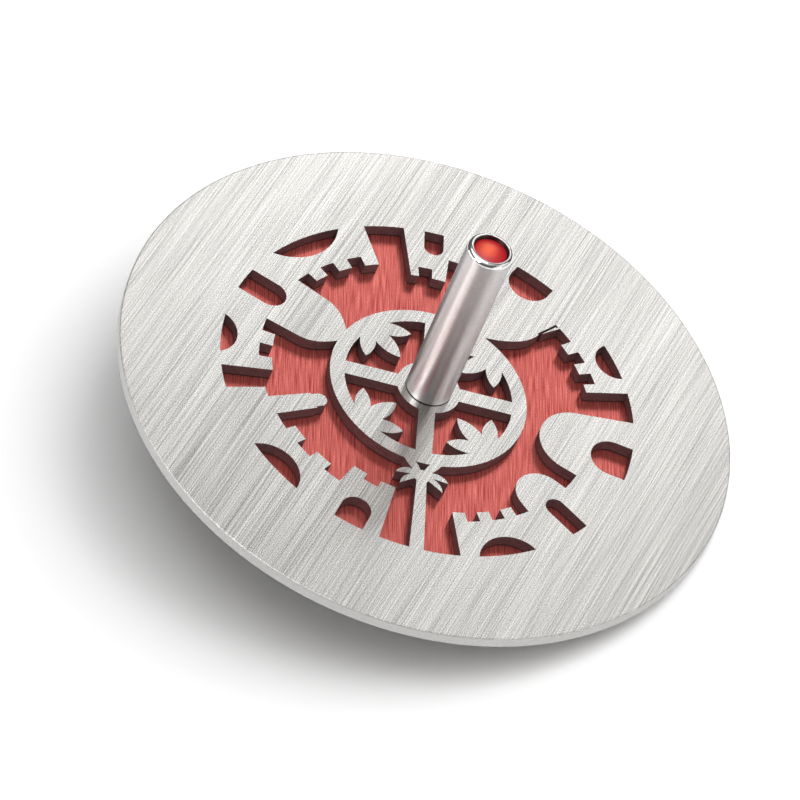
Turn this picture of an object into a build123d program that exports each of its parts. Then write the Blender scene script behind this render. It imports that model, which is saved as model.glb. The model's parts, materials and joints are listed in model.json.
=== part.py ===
from build123d import *
import math
import os

# Spinning top: a pierced metal disc over a coloured disc, clamped on a spindle
# between a turned handle above and a turned foot below.
#
# Every piece is drawn upright, with the spin axis on Z and the bottom of the tip
# at z = 0, and is then laid down as the top lies at rest: on its tip and its rim.
# Lengths are in millimetres, angles in degrees. In the pattern, angles are counted
# about the spin axis, and the palm tree stands at 270.

# Pierced disc and the disc below it
disc_radius = 40.0
plate_thickness = 1.5
rim_rounding = 0.15
film_thickness = 0.2
film_radius = 30.5
colour_disc_radius = 31.0
colour_disc_thickness = 1.0
colour_disc_chamfer = 0.1

# Pattern circles
hub_radius = 4.15
spoke_width = 2.15
ring_inner_radius = 11.0
ring_outer_radius = 12.9
ground_radius = 27.1
root_overlap = 0.6
quarter_turn = 90.0
dome_shoulder_curve = 0.96
dome_shoulder_length = 0.38
dome_neck_curve = 0.6
dome_neck_length = 0.3
palm_crown = 15.1
crown_radius = 1.05
trunk_base = 0.95
trunk_top = 0.62
slit_width = 0.32

# Leaves in the wheel
middle_leaf_length = 6.0
middle_leaf_width = 2.3
side_leaf_length = 5.4
side_leaf_width = 2.1
side_leaf_angle = 47.0

# Handle and the cabochon in its head
handle_radius = 3.0
handle_length = 26.25
lip_outer_rounding = 0.6
lip_inner_rounding = 0.1
handle_foot_rounding = 0.15
recess_radius = 2.25
recess_depth = 2.4
cabochon_radius = 2.14
cabochon_edge_depth = 0.6
cabochon_crown = 0.6

# Spindle, washer, foot and tip
thread_radius = 1.5
thread_gap = 0.03
disc_hole_gap = 0.05
thread_end_gap = 0.2
thread_in_handle = 9.0
thread_chamfer = 0.25
washer_radius = 8.0
washer_thickness = 1.0
washer_chamfer = 0.2
foot_radius = 5.0
foot_collar_height = 2.2
foot_end_radius = 1.95
foot_edge_rounding = 0.3
tip_radius = 1.5
tip_gap = 0.02
tip_showing = 1.1
tip_seat_depth = 1.0

# How the top lies at rest
rim_height = 12.0
turn_at_rest = -3.5

# Heights along the spin axis, counted from the bottom of the tip
plate_top = rim_height + plate_thickness
film_bottom = rim_height - film_thickness
colour_disc_bottom = film_bottom - colour_disc_thickness
washer_bottom = colour_disc_bottom - washer_thickness
thread_bottom = 2 * tip_radius + tip_seat_depth
thread_top = plate_top + thread_in_handle
handle_top = plate_top + handle_length


def lean_angle():
    """The angle between the spin axis and the vertical, with tip and rim on the table."""
    edge_radius = disc_radius - rim_rounding
    edge_height = rim_height + rim_rounding - tip_radius
    reach = math.hypot(edge_radius, edge_height)
    slope = math.atan2(edge_height, edge_radius)
    return math.degrees(slope + math.asin((tip_radius - rim_rounding) / reach))


def laid_down(piece):
    """Turn an upright piece about the spin axis, then lean it about the tip's centre."""
    tip_centre = Pos(0, 0, tip_radius)
    return tip_centre * Rot(0, lean_angle(), 0) * tip_centre.inverse() * Rot(0, 0, turn_at_rest) * piece


def polar(radius, angle):
    return (radius * math.cos(math.radians(angle)), radius * math.sin(math.radians(angle)))


def facing(angle, shape):
    """Turn a shape drawn with its outward direction along +Y to that angle."""
    return Rot(0, 0, angle - quarter_turn) * shape


def sector(inner, outer, start, end):
    middle = (start + end) / 2
    return make_face([
        ThreePointArc(polar(inner, start), polar(inner, middle), polar(inner, end)),
        Line(polar(inner, end), polar(outer, end)),
        ThreePointArc(polar(outer, end), polar(outer, middle), polar(outer, start)),
        Line(polar(outer, start), polar(inner, start)),
    ])


def outline(points):
    return make_face(Polyline(*points, close=True))


# ---- Buildings, which stand on the ground circle and reach towards the centre ----

def wall(start, end, crest, floor, spans, opens_with_merlon=True):
    """A wall whose top alternates between merlons and gaps of equal width."""
    step = (end - start) / spans
    shape = sector(floor, ground_radius + root_overlap, start, end)
    for index in range(0 if opens_with_merlon else 1, spans, 2):
        left = start + index * step
        shape += sector(crest, floor + root_overlap, left, left + step)
    return shape


def round_dome(axis, half_angle, cap_radius):
    """A dome with radial sides that run into a round cap."""
    cap_distance = cap_radius / math.sin(math.radians(half_angle))
    spring_radius = cap_distance * math.cos(math.radians(half_angle))
    sides = sector(spring_radius, ground_radius + root_overlap, axis - half_angle, axis + half_angle)
    return sides + facing(axis, Pos(0, cap_distance) * Circle(cap_radius))


def pointed_dome(axis, foot_half_width, foot, shoulder_half_width, shoulder, point):
    """A dome that narrows from its foot to its shoulder and then sweeps to a point."""
    rise = shoulder - point
    halves = []
    for side in (1, -1):
        halves += [
            Line((side * foot_half_width, foot), (side * shoulder_half_width, shoulder)),
            Bezier(
                (side * shoulder_half_width, shoulder),
                (side * shoulder_half_width * dome_shoulder_curve, shoulder - dome_shoulder_length * rise),
                (side * shoulder_half_width * dome_neck_curve, point + dome_neck_length * rise),
                (0, point),
            ),
        ]
    base = Line((foot_half_width, foot), (-foot_half_width, foot))
    return facing(axis, make_face([base] + halves))


def minaret(axis, base_half_width, neck_half_width, neck, head_radius, head):
    """A slender tower with a rounded head above a small balcony."""
    base = ground_radius + root_overlap
    shaft = outline([
        (base_half_width, base), (neck_half_width, neck), (-neck_half_width, neck), (-base_half_width, base),
    ])
    stem = Pos(0, (head + neck) / 2) * Rectangle(2 * head_radius, neck - head + root_overlap)
    return facing(axis, shaft + stem + Pos(0, head) * Circle(head_radius))


def frond(side, reach, drop, rise, thickness):
    """A curved palm frond from the crown to a tip that lies out and down."""
    crown = Vector(0, palm_crown)
    end = Vector(side * reach, palm_crown + drop)
    middle = (crown + end) / 2
    along = (end - crown).normalized()
    upward = Vector(along.Y, -along.X) * side
    outer = middle + upward * (rise + thickness / 2)
    inner = middle + upward * (rise - thickness / 2)
    return make_face([ThreePointArc(crown, outer, end), ThreePointArc(end, inner, crown)])


def fronds(side):
    """The fronds on one side of the crown: one up to the ring, one level and one that hangs."""
    upper = frond(side, reach=2.9, drop=-3.6, rise=0.1, thickness=1.1)
    level = frond(side, reach=3.4, drop=0.2, rise=0.55, thickness=0.95)
    hanging = frond(side, reach=2.75, drop=1.9, rise=0.45, thickness=0.8)
    return [upper, level, hanging]


def palm(axis):
    """A palm tree whose upper fronds run into the ring."""
    base = ground_radius + root_overlap
    tree = outline([
        (trunk_base, base), (trunk_top, palm_crown), (-trunk_top, palm_crown), (-trunk_base, base),
    ])
    tree += Pos(0, palm_crown) * Circle(crown_radius)
    for leafy in fronds(1) + fronds(-1):
        tree += leafy
    return facing(axis, tree)


# ---- Windows and doors, cut through the buildings on the ground circle ----

def arch(axis, width, depth):
    """A door or window with straight sides and a round head."""
    spring = ground_radius - depth + width / 2
    sides = Pos(0, (ground_radius + spring) / 2) * Rectangle(width, ground_radius - spring)
    opening = sides + Pos(0, spring) * Circle(width / 2)
    return facing(axis, opening & Circle(ground_radius))


def lunette(start, end, depth):
    """A window bounded by the ground circle and a deeper arc."""
    middle = (start + end) / 2
    left, right = polar(ground_radius, start), polar(ground_radius, end)
    return make_face([
        ThreePointArc(left, polar(ground_radius, middle), right),
        ThreePointArc(right, polar(ground_radius - depth, middle), left),
    ])


def slit(angle, inner, outer, turn):
    """A fine radial cut that turns a short way round at its outer end."""
    straight = Pos(0, (inner + outer) / 2) * Rectangle(slit_width, outer - inner)
    return facing(angle, straight) + sector(outer - slit_width, outer, angle - turn, angle)


def skyline():
    """Every building round the disc, each at its own angle."""
    buildings = [
        wall(241.7, 259.8, 18.3, 19.4, 3),
        wall(209.4, 241.7, 20.4, 21.8, 5, opens_with_merlon=False),
        minaret(205.6, 1.6, 1.2, 16.1, 0.98, 15.3),
        wall(198.0, 209.4, 21.9, 21.9, 1),
        wall(167.3, 190.2, 20.4, 22.1, 4, opens_with_merlon=False),
        pointed_dome(156.0, 4.4, 23.0, 4.0, 17.0, 12.0),
        wall(144.5, 167.3, 22.1, 22.1, 1),
        wall(112.0, 144.7, 20.6, 22.1, 6),
        wall(97.2, 100.4, 19.0, 20.6, 1),
        wall(92.0, 97.2, 20.6, 20.6, 1),
        wall(86.6, 92.0, 19.0, 20.6, 1),
        wall(42.2, 86.6, 23.0, 23.0, 1),
        pointed_dome(61.0, 7.6, 23.6, 5.4, 18.8, 12.5),
        wall(19.7, 42.2, 21.4, 23.0, 5, opens_with_merlon=False),
        wall(16.2, 19.7, 21.4, 21.4, 1),
        round_dome(-8.8, 14.5, 5.0),
        wall(-31.2, -23.2, 21.6, 21.6, 1),
        round_dome(-40.5, 9.4, 3.3),
        wall(-50.7, -48.9, 21.6, 21.6, 1),
        wall(-78.0, -50.4, 20.2, 21.6, 6),
        palm(270.0),
    ]
    shape = buildings[0]
    for building in buildings[1:]:
        shape += building
    return shape


def windows():
    """Every door and window through the buildings."""
    return [
        arch(251.0, 3.9, 4.6),
        lunette(217.6, 234.8, 3.1),
        lunette(171.8, 185.5, 2.1),
        arch(156.5, 4.0, 5.9),
        lunette(119.8, 142.8, 3.0),
        arch(91.7, 2.6, 3.9),
        arch(61.2, 5.6, 4.45),
        lunette(21.3, 33.3, 2.55),
        arch(-9.8, 5.6, 5.2),
        arch(-40.3, 2.6, 5.65),
        lunette(-72.8, -56.0, 2.85),
    ]


# ---- The wheel round the hub ----

def leaf(length, width):
    """A pointed leaf from the origin along -Y."""
    end = (0, -length)
    return make_face([
        ThreePointArc((0, 0), (width / 2, -length / 2), end),
        ThreePointArc(end, (-width / 2, -length / 2), (0, 0)),
    ])


def sprig(axis):
    """Three leaves that grow from the ring towards the hub."""
    root = ring_inner_radius + root_overlap
    shape = leaf(middle_leaf_length, middle_leaf_width)
    for side in (1, -1):
        shape += Rot(0, 0, side * side_leaf_angle) * leaf(side_leaf_length, side_leaf_width)
    return facing(axis, Pos(0, root) * shape)


def wheel_openings():
    """The four openings between hub, spokes and ring, each round a sprig."""
    openings = Circle(ring_inner_radius) - Circle(hub_radius)
    openings -= Rectangle(2 * ring_inner_radius, spoke_width)
    openings -= Rectangle(spoke_width, 2 * ring_inner_radius)
    for quarter in range(4):
        openings -= sprig((quarter + 0.5) * quarter_turn)
    return openings


def pattern_openings():
    """All that is cut out of the pierced disc, apart from the spindle's hole."""
    sky = Circle(ground_radius) - Circle(ring_outer_radius) - skyline()
    openings = sky + wheel_openings()
    for opening in windows() + [slit(45.2, 19.6, 22.95, 0.9)]:
        openings += opening
    return openings


# ---- Pieces, upright ----

def disc(radius, bottom, thickness):
    return Pos(0, 0, bottom) * Cylinder(radius, thickness, align=(Align.CENTER, Align.CENTER, Align.MIN))


def turned(points):
    """A solid of revolution about Z, from its half outline of radius and height."""
    return revolve(Plane.XZ * outline(points), Axis.Z)


def pierced_disc(openings):
    plate = disc(disc_radius, rim_height, plate_thickness)
    plate = fillet(plate.edges(), rim_rounding)
    plate -= extrude(Pos(0, 0, rim_height) * openings, plate_thickness)
    return plate - disc(thread_radius + disc_hole_gap, rim_height, plate_thickness)


def bonding_film(openings):
    film = disc(film_radius, film_bottom, film_thickness)
    film -= extrude(Pos(0, 0, film_bottom) * openings, film_thickness)
    return film - disc(thread_radius + disc_hole_gap, film_bottom, film_thickness)


def colour_disc():
    plate = disc(colour_disc_radius, colour_disc_bottom, colour_disc_thickness)
    plate = chamfer(plate.edges(), colour_disc_chamfer)
    return plate - disc(thread_radius + disc_hole_gap, colour_disc_bottom, colour_disc_thickness)


def clamp_washer():
    plate = disc(washer_radius, washer_bottom, washer_thickness)
    plate = chamfer(plate.edges().group_by(Axis.Z)[0], washer_chamfer)
    return plate - disc(thread_radius + disc_hole_gap, washer_bottom, washer_thickness)


def handle():
    rod = disc(handle_radius, plate_top, handle_length)
    rod = fillet(rod.edges().group_by(Axis.Z)[0], handle_foot_rounding)
    rod -= disc(recess_radius, handle_top - recess_depth, recess_depth)
    lip = rod.edges().group_by(Axis.Z)[-1].sort_by(SortBy.RADIUS)
    rod = fillet(lip[-1], lip_outer_rounding)
    lip = rod.edges().filter_by(GeomType.CIRCLE).group_by(Axis.Z)[-1].sort_by(SortBy.RADIUS)
    rod = fillet(lip[0], lip_inner_rounding)
    return rod - disc(thread_radius + thread_gap, plate_top, thread_in_handle + thread_end_gap)


def cabochon():
    edge_height = handle_top - cabochon_edge_depth
    crown_radius = (cabochon_radius**2 + cabochon_crown**2) / (2 * cabochon_crown)
    crown_centre = edge_height + cabochon_crown - crown_radius
    body = disc(cabochon_radius, handle_top - recess_depth, recess_depth)
    return body & (Pos(0, 0, crown_centre) * Sphere(crown_radius))


def spindle():
    rod = disc(thread_radius, thread_bottom, thread_top - thread_bottom)
    return chamfer(rod.edges(), thread_chamfer)


def foot():
    collar_bottom = washer_bottom - foot_collar_height
    body = turned([
        (0, washer_bottom), (foot_radius, washer_bottom), (foot_radius, collar_bottom),
        (foot_end_radius, tip_showing), (0, tip_showing),
    ])
    body = fillet(body.edges().filter_by(GeomType.CIRCLE).sort_by(SortBy.RADIUS)[-2:], foot_edge_rounding)
    body -= disc(thread_radius + thread_gap, thread_bottom - thread_end_gap, washer_bottom)
    return body - disc(tip_radius + tip_gap, 0, 2 * tip_radius + tip_gap)


def tip():
    return Pos(0, 0, tip_radius) * Sphere(tip_radius)


def build():
    openings = pattern_openings()
    pieces = {
        "pierced_disc": pierced_disc(openings),
        "bonding_film": bonding_film(openings),
        "colour_disc": colour_disc(),
        "handle": handle(),
        "handle_cabochon": cabochon(),
        "spindle": spindle(),
        "clamp_washer": clamp_washer(),
        "foot": foot(),
        "tip_ball": tip(),
    }
    os.makedirs("parts", exist_ok=True)
    for name, piece in pieces.items():
        export_step(laid_down(piece), f"parts/{name}.step")


build()
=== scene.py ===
import json
import math

import bpy
from mathutils import Euler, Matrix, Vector


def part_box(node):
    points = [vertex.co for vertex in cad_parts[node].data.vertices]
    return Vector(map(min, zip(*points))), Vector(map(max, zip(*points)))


# The looks of a spinning top that lies at rest on its tip and its rim.
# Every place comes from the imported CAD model. Lengths are in metres, except inside
# the materials, which work in millimetres in the top's own upright frame: the spin
# axis on Z, the tip's centre at zero, and the pattern's palm tree towards -Y.

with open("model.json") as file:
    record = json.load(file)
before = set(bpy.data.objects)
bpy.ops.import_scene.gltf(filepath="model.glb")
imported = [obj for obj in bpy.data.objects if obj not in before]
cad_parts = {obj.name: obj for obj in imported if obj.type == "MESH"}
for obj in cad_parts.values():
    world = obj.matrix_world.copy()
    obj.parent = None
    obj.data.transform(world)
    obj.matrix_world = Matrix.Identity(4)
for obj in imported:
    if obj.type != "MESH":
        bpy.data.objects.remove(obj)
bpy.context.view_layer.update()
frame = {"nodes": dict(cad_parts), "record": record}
nodes = frame["nodes"]

MM = 0.001

# The pattern's turn about the spin axis, as in the CAD model
TURN_AT_REST = math.radians(-3.5)

# Which way the brushed lines run, in degrees from the upright frame's +X towards +Y,
# and how far one line reaches into the metal, in millimetres
FACE_BRUSHING = 69.0
RED_BRUSHING = 93.0
STREAK_DEPTH = 5.0

# Colours
FACE = (0.635, 0.622, 0.600)
RIM = (0.53, 0.525, 0.515)
# Cut walls: partly oxidised cut edge, partly painted shade and painted reflection of the red plate
CUT_WALL_OXIDE_AND_SHADE = (0.155, 0.088, 0.091)
DEEP_RED = (0.37, 0.046, 0.041, 1.0)
PALE_RED = (0.80, 0.214, 0.181, 1.0)
BARE_UNDERSIDE = (0.30, 0.295, 0.29)
# The film's near black is partly its own colour, partly painted shade of the gap between the plates
FILM_AND_GAP_SHADE = (0.030, 0.016, 0.016)
HANDLE = (0.775, 0.75, 0.747)
HANDLE_LIP = (0.80, 0.79, 0.785, 1.0)
# Painted shade in the handle's recess round the inset
RECESS_PAINTED_SHADE = (0.10, 0.075, 0.072, 1.0)
# Painted contact shadow where the handle meets the plate
FOOT_CONTACT_SHADOW = (0.03, 0.025, 0.025, 1.0)
# The inset's colours are painted light: a warm glow left of its middle, and shade towards its edge
INSET_PAINTED_GLOW = (0.85, 0.110, 0.038, 1.0)
INSET_PAINTED_EDGE_SHADE = (0.42, 0.006, 0.014, 1.0)
PLAIN_STEEL = (0.50, 0.50, 0.50)
FOOT_METAL = (0.7272, 0.72, 0.7128)
HARD_STEEL = (0.78, 0.78, 0.78)
FLOOR = (0.95, 0.95, 0.95, 1.0)

# A noise's values lie about its middle, and nearly all of them between low and high
NOISE_LOW = 0.3
NOISE_MIDDLE = 0.5
NOISE_HIGH = 0.7

# Camera, with its lens and sensor in millimetres
CAMERA_AIM = Vector((-0.00012, -0.0012, 0.012))
CAMERA_ELEVATION = math.radians(47.7)
CAMERA_DISTANCE = 0.7236
CAMERA_LENS = 259.9
CAMERA_SENSOR = 36.0
CAMERA_CLIP = (0.01, 20.0)

FLOOR_HALF_WIDTH = 3.0

# The key light is a panel of six small boxes, which the disc's face mirrors towards
# the camera. Each box has an azimuth and an elevation in degrees, and its power.
KEY_DISTANCE = 0.5
KEY_SIZE = (0.11, 0.11)
KEY_PANEL = {
    (48.0, 29.0): 0.020, (60.0, 29.0): 0.0435, (72.0, 29.0): 0.046,
    (48.0, 40.0): 0.031, (60.0, 40.0): 0.024, (72.0, 40.0): 0.0395,
}

# Every other box has an azimuth, an elevation, a distance, a size and a power.
# The overheads light the floor and the dull surfaces, and leave no reflection. The
# glints are seen only as reflections, mainly in the handle and its lip.
OVERHEADS = {
    "overhead_right": (-13.0, 62.0, 2.4, (1.6, 1.6), 24.0),
    "overhead_front": (-64.0, 65.0, 2.4, (1.6, 1.6), 33.0),
}
GLINTS = {
    "top": (80.0, 80.0, 0.8, (0.62, 0.62), 1.8),
    "left": (184.0, 15.0, 0.8, (0.8, 0.34), 1.8),
    "left_high": (221.0, 38.0, 0.8, (0.34, 0.34), 1.15),
    "front_left": (230.0, 60.0, 0.8, (0.34, 0.34), 0.9),
    "right": (355.0, 28.0, 0.8, (0.6, 0.5), 0.85),
    "front_right": (315.0, 9.5, 0.8, (0.5, 0.2), 0.75),
}

# The room is dim low down and brightens towards the zenith, between two heights that
# are the sines of elevations
ROOM_HEIGHTS = (0.7, 0.9)
ROOM_STRENGTHS = (0.12, 0.72)


# ---- The upright frame ----

def placement():
    """The tip's centre, and the turn and lean about it that lay the upright top down."""
    handle = next(mount for mount in frame["record"]["mounts"] if mount["name"] == "handle")
    axis = Vector(handle["axis"])
    lean = math.atan2(axis.x, axis.z)
    low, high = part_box("tip_ball")
    turned = Euler((0, lean, 0)).to_matrix() @ Euler((0, 0, TURN_AT_REST)).to_matrix()
    return (low + high) / 2, turned


tip_centre, lay_down = placement()
spin_axis = lay_down @ Vector((0, 0, 1))


def upright_points(name):
    """A node's vertices in the upright frame, in millimetres."""
    stand_up = lay_down.inverted()
    return [stand_up @ (vertex.co - tip_centre) / MM for vertex in nodes[name].data.vertices]


def height_span(name):
    """A node's lowest and highest point along the spin axis."""
    heights = [point.z for point in upright_points(name)]
    return min(heights), max(heights)


def outer_radius(name):
    """A node's largest distance from the spin axis."""
    return max(point.xy.length for point in upright_points(name))


# ---- Short ways to write materials ----

class Material:
    """A material made of nodes, round one Principled shader."""

    def __init__(self, name):
        self.made = bpy.data.materials.new(name)
        self.made.use_nodes = True
        self.tree = self.made.node_tree
        self.shader = self.tree.nodes["Principled BSDF"]
        coordinates = self.node("ShaderNodeTexCoord")
        place = self.node("ShaderNodeMapping", vector_type="TEXTURE", Vector=coordinates.outputs["Object"])
        place.inputs["Location"].default_value = tip_centre
        place.inputs["Rotation"].default_value = lay_down.to_euler()
        place.inputs["Scale"].default_value = (MM, MM, MM)
        self.place = place.outputs["Vector"]
        self.normal = coordinates.outputs["Normal"]

    def join(self, value, target):
        """Link a socket to an input, or set the input to a plain value."""
        if isinstance(value, bpy.types.NodeSocket):
            self.tree.links.new(value, target)
        else:
            target.default_value = value

    def node(self, kind, **settings):
        """A new node. A setting is a property, an input's value, or a link to an input."""
        made = self.tree.nodes.new(kind)
        for key, value in settings.items():
            if hasattr(made, key):
                setattr(made, key, value)
            else:
                self.join(value, made.inputs[key])
        return made

    def maths(self, operation, *values, clamp=False):
        made = self.node("ShaderNodeMath", operation=operation, use_clamp=clamp)
        for value, target in zip(values, made.inputs):
            self.join(value, target)
        return made.outputs["Value"]

    def vector_maths(self, operation, *values, output="Vector"):
        made = self.node("ShaderNodeVectorMath", operation=operation)
        for value, target in zip(values, made.inputs):
            self.join(value, target)
        return made.outputs[output]

    def varied(self, value, *patterns):
        """A number with patterns added to it, each given with its share."""
        for pattern, share in patterns:
            value = self.maths("ADD", value, self.maths("MULTIPLY", pattern, share))
        return value

    def ramp(self, value, low, high, to_low=0.0, to_high=1.0, smooth=False):
        """A number carried from one range to another, and held within it."""
        made = self.node("ShaderNodeMapRange", clamp=True)
        if smooth:
            made.interpolation_type = "SMOOTHSTEP"
        for key, number in (("From Min", low), ("From Max", high), ("To Min", to_low), ("To Max", to_high)):
            self.join(number, made.inputs[key])
        self.join(value, made.inputs["Value"])
        return made.outputs["Result"]

    def blend(self, share, first, second):
        """A colour between two others."""
        made = self.node("ShaderNodeMix", data_type="RGBA")
        colour_inputs = [socket for socket in made.inputs if socket.type == "RGBA"]
        self.join(share, made.inputs[0])
        self.join(first, colour_inputs[0])
        self.join(second, colour_inputs[1])
        return next(socket for socket in made.outputs if socket.type == "RGBA")

    def scaled(self, colour, factor):
        """A colour made darker or lighter."""
        made = self.node("ShaderNodeVectorMath", operation="SCALE")
        self.join(colour, made.inputs[0])
        self.join(factor, made.inputs["Scale"])
        return made.outputs["Vector"]

    def noise(self, vector, scale=1.0, detail=2.0, roughness=0.5):
        made = self.node("ShaderNodeTexNoise", Vector=vector, Scale=scale, Detail=detail, Roughness=roughness)
        return made.outputs["Fac"]

    def about_zero(self, noise):
        return self.maths("SUBTRACT", noise, NOISE_MIDDLE)

    def stretched_noise(self, vector, lengths, detail):
        """A noise with its own length along each axis, about zero."""
        drawn = self.node("ShaderNodeMapping", Vector=vector)
        drawn.inputs["Scale"].default_value = [1 / length for length in lengths]
        return self.about_zero(self.noise(drawn.outputs["Vector"], detail=detail))

    def streaks(self, direction, width, length, detail=0.0):
        """Fine straight lines in a direction across the spin axis, about zero."""
        turned = self.node("ShaderNodeVectorRotate", rotation_type="Z_AXIS", Vector=self.place)
        turned.inputs["Angle"].default_value = math.radians(-direction)
        return self.stretched_noise(turned.outputs["Vector"], (length, width, STREAK_DEPTH), detail)

    def rings(self, width, length):
        """Fine lines round the spin axis, about zero."""
        return self.stretched_noise(self.place, (length, length, width), detail=2.0)

    def radius(self, centre=(0.0, 0.0, 0.0)):
        """The distance from the spin axis, or from a line along it through a centre."""
        flat = self.vector_maths("MULTIPLY", self.vector_maths("SUBTRACT", self.place, centre), (1, 1, 0))
        return self.vector_maths("LENGTH", flat, output="Value")

    def height(self):
        """The height along the spin axis, from the tip's centre."""
        return self.node("ShaderNodeSeparateXYZ", Vector=self.place).outputs["Z"]

    def facing_up(self):
        """1 where the surface faces up the spin axis, -1 where it faces down it, 0 across it."""
        return self.vector_maths("DOT_PRODUCT", self.normal, tuple(spin_axis), output="Value")

    def steepness(self):
        """0 where the surface faces along the spin axis and 1 where it faces across it."""
        return self.ramp(self.maths("ABSOLUTE", self.facing_up()), 0.75, 0.65)

    def bump(self, height, distance):
        """Relief from a pattern, with its distance in millimetres."""
        made = self.node("ShaderNodeBump", Height=height, Strength=1.0, Distance=distance * MM)
        self.tree.links.new(made.outputs["Normal"], self.shader.inputs["Normal"])

    def finish(self, **settings):
        """The finished material, with the shader's inputs set."""
        for key, value in settings.items():
            self.join(value, self.shader.inputs[key.replace("_", " ")])
        return self.made


# ---- Materials ----

def brushed_plate():
    """Straight-brushed metal with a turned rim, and cut walls painted dark maroon: partly oxidised cut edge,
    partly painted shade and painted red reflection.
    """
    material = Material("brushed_plate")
    rim_radius = outer_radius("pierced_disc")
    radius = material.radius()

    hair = material.streaks(FACE_BRUSHING, width=0.11, length=12.0)
    long_hair = material.streaks(FACE_BRUSHING, width=0.12, length=60.0)
    grain = material.about_zero(material.noise(material.place, scale=7.0, detail=0.0))
    face = material.scaled(FACE, material.varied(1.0, (hair, 0.75), (long_hair, 0.72), (grain, 1.15)))

    is_wall = material.steepness()
    within_rim = material.ramp(radius, rim_radius - 0.5, rim_radius - 1.0)
    is_cut = material.maths("MULTIPLY", is_wall, within_rim)
    is_rim = material.maths("SUBTRACT", is_wall, is_cut, clamp=True)
    cut_marks = material.rings(width=0.25, length=0.6)
    rim_marks = material.rings(width=0.12, length=0.5)
    # The cut walls' colour is partly oxidised edge, partly painted shade and painted red reflection
    cut = material.scaled(CUT_WALL_OXIDE_AND_SHADE, material.varied(1.0, (cut_marks, 1.2)))
    rim = material.scaled(RIM, material.varied(1.0, (rim_marks, 0.5)))
    colour = material.blend(is_rim, face, rim)
    colour = material.blend(is_cut, colour, cut)

    at_edge = material.ramp(radius, rim_radius - 0.22, rim_radius - 0.12)
    roughness = material.varied(0.23, (long_hair, 0.15), (is_cut, 0.3), (at_edge, 0.27))
    metallic = material.ramp(is_cut, 0.0, 1.0, to_low=1.0, to_high=0.25)
    material.bump(hair, distance=0.001)
    return material.finish(Base_Color=colour, Roughness=roughness, Metallic=metallic)


def red_anodised():
    """Brushed metal dyed red, with a bare underside."""
    material = Material("red_anodised")
    fine = material.streaks(RED_BRUSHING, width=0.12, length=4.0)
    broad = material.streaks(RED_BRUSHING, width=0.25, length=9.0, detail=1.0)
    streak = material.varied(0.0, (fine, 1.2), (broad, 0.3))
    red = material.blend(material.ramp(streak, -0.32, 0.40), DEEP_RED, PALE_RED)
    bare = material.scaled(BARE_UNDERSIDE, material.varied(1.0, (streak, 1.0)))
    faces_down = material.ramp(material.facing_up(), -0.5, -0.8)
    colour = material.blend(faces_down, red, bare)
    roughness = material.varied(0.25, (broad, 0.2))
    material.bump(streak, distance=0.004)
    return material.finish(Base_Color=colour, Roughness=roughness, Metallic=0.82)


def film():
    """Adhesive film, near black partly as its own colour and partly as painted shade of the gap between the
    plates; it shows as a thin line under the cut walls.
    """
    material = Material("film")
    specks = material.noise(material.place, scale=3.0, roughness=0.6)
    tone = material.ramp(specks, NOISE_LOW, NOISE_HIGH, to_low=0.6, to_high=1.5)
    roughness = material.ramp(specks, NOISE_LOW, NOISE_HIGH, to_low=0.45, to_high=0.7)
    material.bump(specks, distance=0.02)
    return material.finish(Base_Color=material.scaled(FILM_AND_GAP_SHADE, tone), Roughness=roughness)


def turned_handle():
    """Satin turned rod with fine grooves round it, a polished lip, painted shade in its recess and a painted
    contact shadow at its foot.
    """
    material = Material("turned_handle")
    low, high = height_span("handle")
    inset_radius = outer_radius("handle_cabochon")
    height = material.height()

    is_lip = material.ramp(height, high - 0.66, high - 0.56, smooth=True)
    is_satin = material.maths("SUBTRACT", 1.0, is_lip)
    is_recess = material.ramp(material.radius(), inset_radius + 0.16, inset_radius + 0.12)
    # Painted contact shadow along the handle's foot, below this height
    above_contact_shadow = material.ramp(height, low + 0.08, low + 0.20)
    groove = material.maths("MULTIPLY", material.rings(width=0.13, length=0.6), is_satin)

    colour = material.scaled(HANDLE, material.varied(1.0, (groove, 0.36)))
    colour = material.blend(is_lip, colour, HANDLE_LIP)
    # Painted shade in the recess round the inset
    colour = material.blend(is_recess, colour, RECESS_PAINTED_SHADE)
    colour = material.blend(above_contact_shadow, FOOT_CONTACT_SHADOW, colour)
    roughness = material.ramp(is_lip, 0.0, 1.0, to_low=0.38, to_high=0.06)
    roughness = material.varied(roughness, (is_recess, 0.4))
    material.bump(groove, distance=0.005)

    along = material.node("ShaderNodeCombineXYZ", X=spin_axis.x, Y=spin_axis.y, Z=spin_axis.z)
    return material.finish(
        Base_Color=colour, Roughness=roughness, Metallic=1.0,
        Anisotropic=0.95, Tangent=along.outputs["Vector"],
    )


def red_inset():
    """Polished, slightly cloudy red resin, with a painted glow left of its middle that darkens to painted shade
    at its edge.
    """
    material = Material("red_inset")
    painted_glow_centre = (-0.38, -0.05, 0.0)
    cloud = material.noise(material.place, scale=0.7)
    from_painted_glow = material.maths("DIVIDE", material.radius(painted_glow_centre), outer_radius("handle_cabochon"))
    share = material.ramp(material.varied(from_painted_glow, (cloud, 0.25)), 0.12, 0.98, smooth=True)
    colour = material.blend(share, INSET_PAINTED_GLOW, INSET_PAINTED_EDGE_SHADE)
    material.bump(cloud, distance=0.004)
    return material.finish(Base_Color=colour, Roughness=0.42, Coat_Weight=0.15, Coat_Roughness=0.15)


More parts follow.
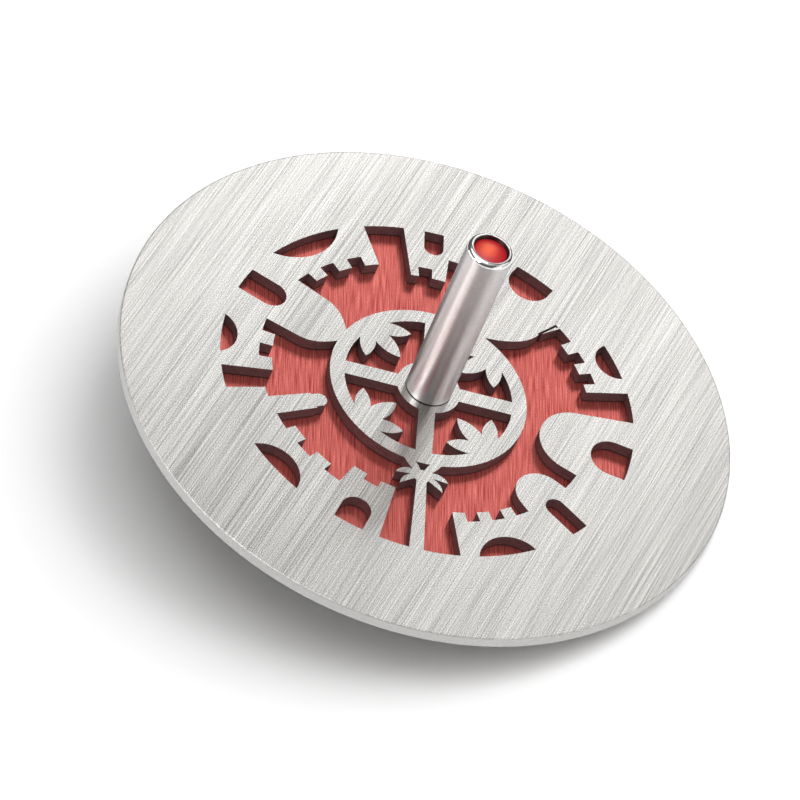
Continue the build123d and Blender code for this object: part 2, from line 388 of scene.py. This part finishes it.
def machined(name, metal, roughness, groove_width, groove_depth):
    """Turned metal, with rings round its sides and circles on its faces."""
    material = Material(name)
    circles = material.node(
        "ShaderNodeTexNoise", noise_dimensions="1D", W=material.radius(), Scale=1 / groove_width, Detail=2.0,
    )
    rings = material.rings(groove_width, length=3.0)
    mark = material.maths("ADD", rings, material.about_zero(circles.outputs["Fac"]))
    wear = material.noise(material.place, scale=0.6, detail=3.0, roughness=0.6)
    tone = material.ramp(wear, NOISE_LOW, NOISE_HIGH, to_low=0.95, to_high=1.04)
    colour = material.scaled(metal, material.varied(tone, (mark, 0.12)))
    worn = material.ramp(wear, NOISE_LOW, NOISE_HIGH, to_low=roughness - 0.04, to_high=roughness + 0.06)
    material.bump(mark, groove_depth)
    return material.finish(Base_Color=colour, Roughness=worn, Metallic=1.0)


def dress(name, material):
    """Give a CAD node its finish."""
    slots = nodes[name].data.materials
    slots.clear()
    slots.append(material)


dress("pierced_disc", brushed_plate())
dress("colour_disc", red_anodised())
dress("bonding_film", film())
dress("handle", turned_handle())
dress("handle_cabochon", red_inset())
plain_steel = machined("plain_steel", PLAIN_STEEL, roughness=0.30, groove_width=0.25, groove_depth=0.003)
dress("spindle", plain_steel)
dress("clamp_washer", plain_steel)
dress("foot", machined("turned_foot", FOOT_METAL, roughness=0.26, groove_width=0.2, groove_depth=0.003))
dress("tip_ball", machined("hard_steel", HARD_STEEL, roughness=0.10, groove_width=0.5, groove_depth=0.001))


# ---- Stage, light and camera ----

def stage_floor():
    """A plain white floor, far wider than any view of the top."""
    half = FLOOR_HALF_WIDTH
    mesh = bpy.data.meshes.new("floor")
    mesh.from_pydata([(-half, -half, 0), (half, -half, 0), (half, half, 0), (-half, half, 0)], [], [(0, 1, 2, 3)])
    floor = bpy.data.objects.new("floor", mesh)
    bpy.context.scene.collection.objects.link(floor)
    paint = bpy.data.materials.new("floor_paint")
    paint.use_nodes = True
    shader = paint.node_tree.nodes["Principled BSDF"]
    shader.inputs["Base Color"].default_value = FLOOR
    shader.inputs["Roughness"].default_value = 1.0
    shader.inputs["Specular IOR Level"].default_value = 0.0
    mesh.materials.append(paint)


def soft_box(name, azimuth, elevation, distance, size, power, lights=True, glints=True):
    """An area light that faces the origin. Azimuth is counted from +X towards +Y."""
    data = bpy.data.lights.new(name, "AREA")
    data.shape = "RECTANGLE"
    data.size, data.size_y = size
    data.energy = power
    lamp = bpy.data.objects.new(name, data)
    lamp.visible_diffuse = lights
    lamp.visible_glossy = glints
    around, above = math.radians(azimuth), math.radians(elevation)
    towards = Vector((math.cos(around) * math.cos(above), math.sin(around) * math.cos(above), math.sin(above)))
    lamp.location = towards * distance
    lamp.rotation_euler = towards.to_track_quat("Z", "Y").to_euler()
    bpy.context.scene.collection.objects.link(lamp)


def soft_boxes():
    for name, place in OVERHEADS.items():
        soft_box(name, *place, glints=False)
    for (azimuth, elevation), power in KEY_PANEL.items():
        soft_box("key", azimuth, elevation, KEY_DISTANCE, KEY_SIZE, power)
    for name, place in GLINTS.items():
        soft_box(name, *place, lights=False)


def room():
    """A white world whose strength follows the height of the direction."""
    world = bpy.data.worlds.new("studio")
    bpy.context.scene.world = world
    world.use_nodes = True
    tree = world.node_tree
    background = tree.nodes["Background"]
    background.inputs["Color"].default_value = (1, 1, 1, 1)
    direction = tree.nodes.new("ShaderNodeTexCoord").outputs["Generated"]
    split = tree.nodes.new("ShaderNodeSeparateXYZ")
    brighter = tree.nodes.new("ShaderNodeMapRange")
    for key, number in zip(("From Min", "From Max", "To Min", "To Max"), ROOM_HEIGHTS + ROOM_STRENGTHS):
        brighter.inputs[key].default_value = number
    tree.links.new(direction, split.inputs["Vector"])
    tree.links.new(split.outputs["Z"], brighter.inputs["Value"])
    tree.links.new(brighter.outputs["Result"], background.inputs["Strength"])


def camera():
    data = bpy.data.cameras.new("camera")
    data.lens = CAMERA_LENS
    data.sensor_width = CAMERA_SENSOR
    data.clip_start, data.clip_end = CAMERA_CLIP
    made = bpy.data.objects.new("camera", data)
    back = Vector((0, -math.cos(CAMERA_ELEVATION), math.sin(CAMERA_ELEVATION)))
    made.location = CAMERA_AIM + back * CAMERA_DISTANCE
    made.rotation_euler = back.to_track_quat("Z", "Y").to_euler()
    bpy.context.scene.collection.objects.link(made)
    bpy.context.scene.camera = made


stage_floor()
soft_boxes()
room()
camera()
bpy.context.scene.view_settings.view_transform = "Standard"
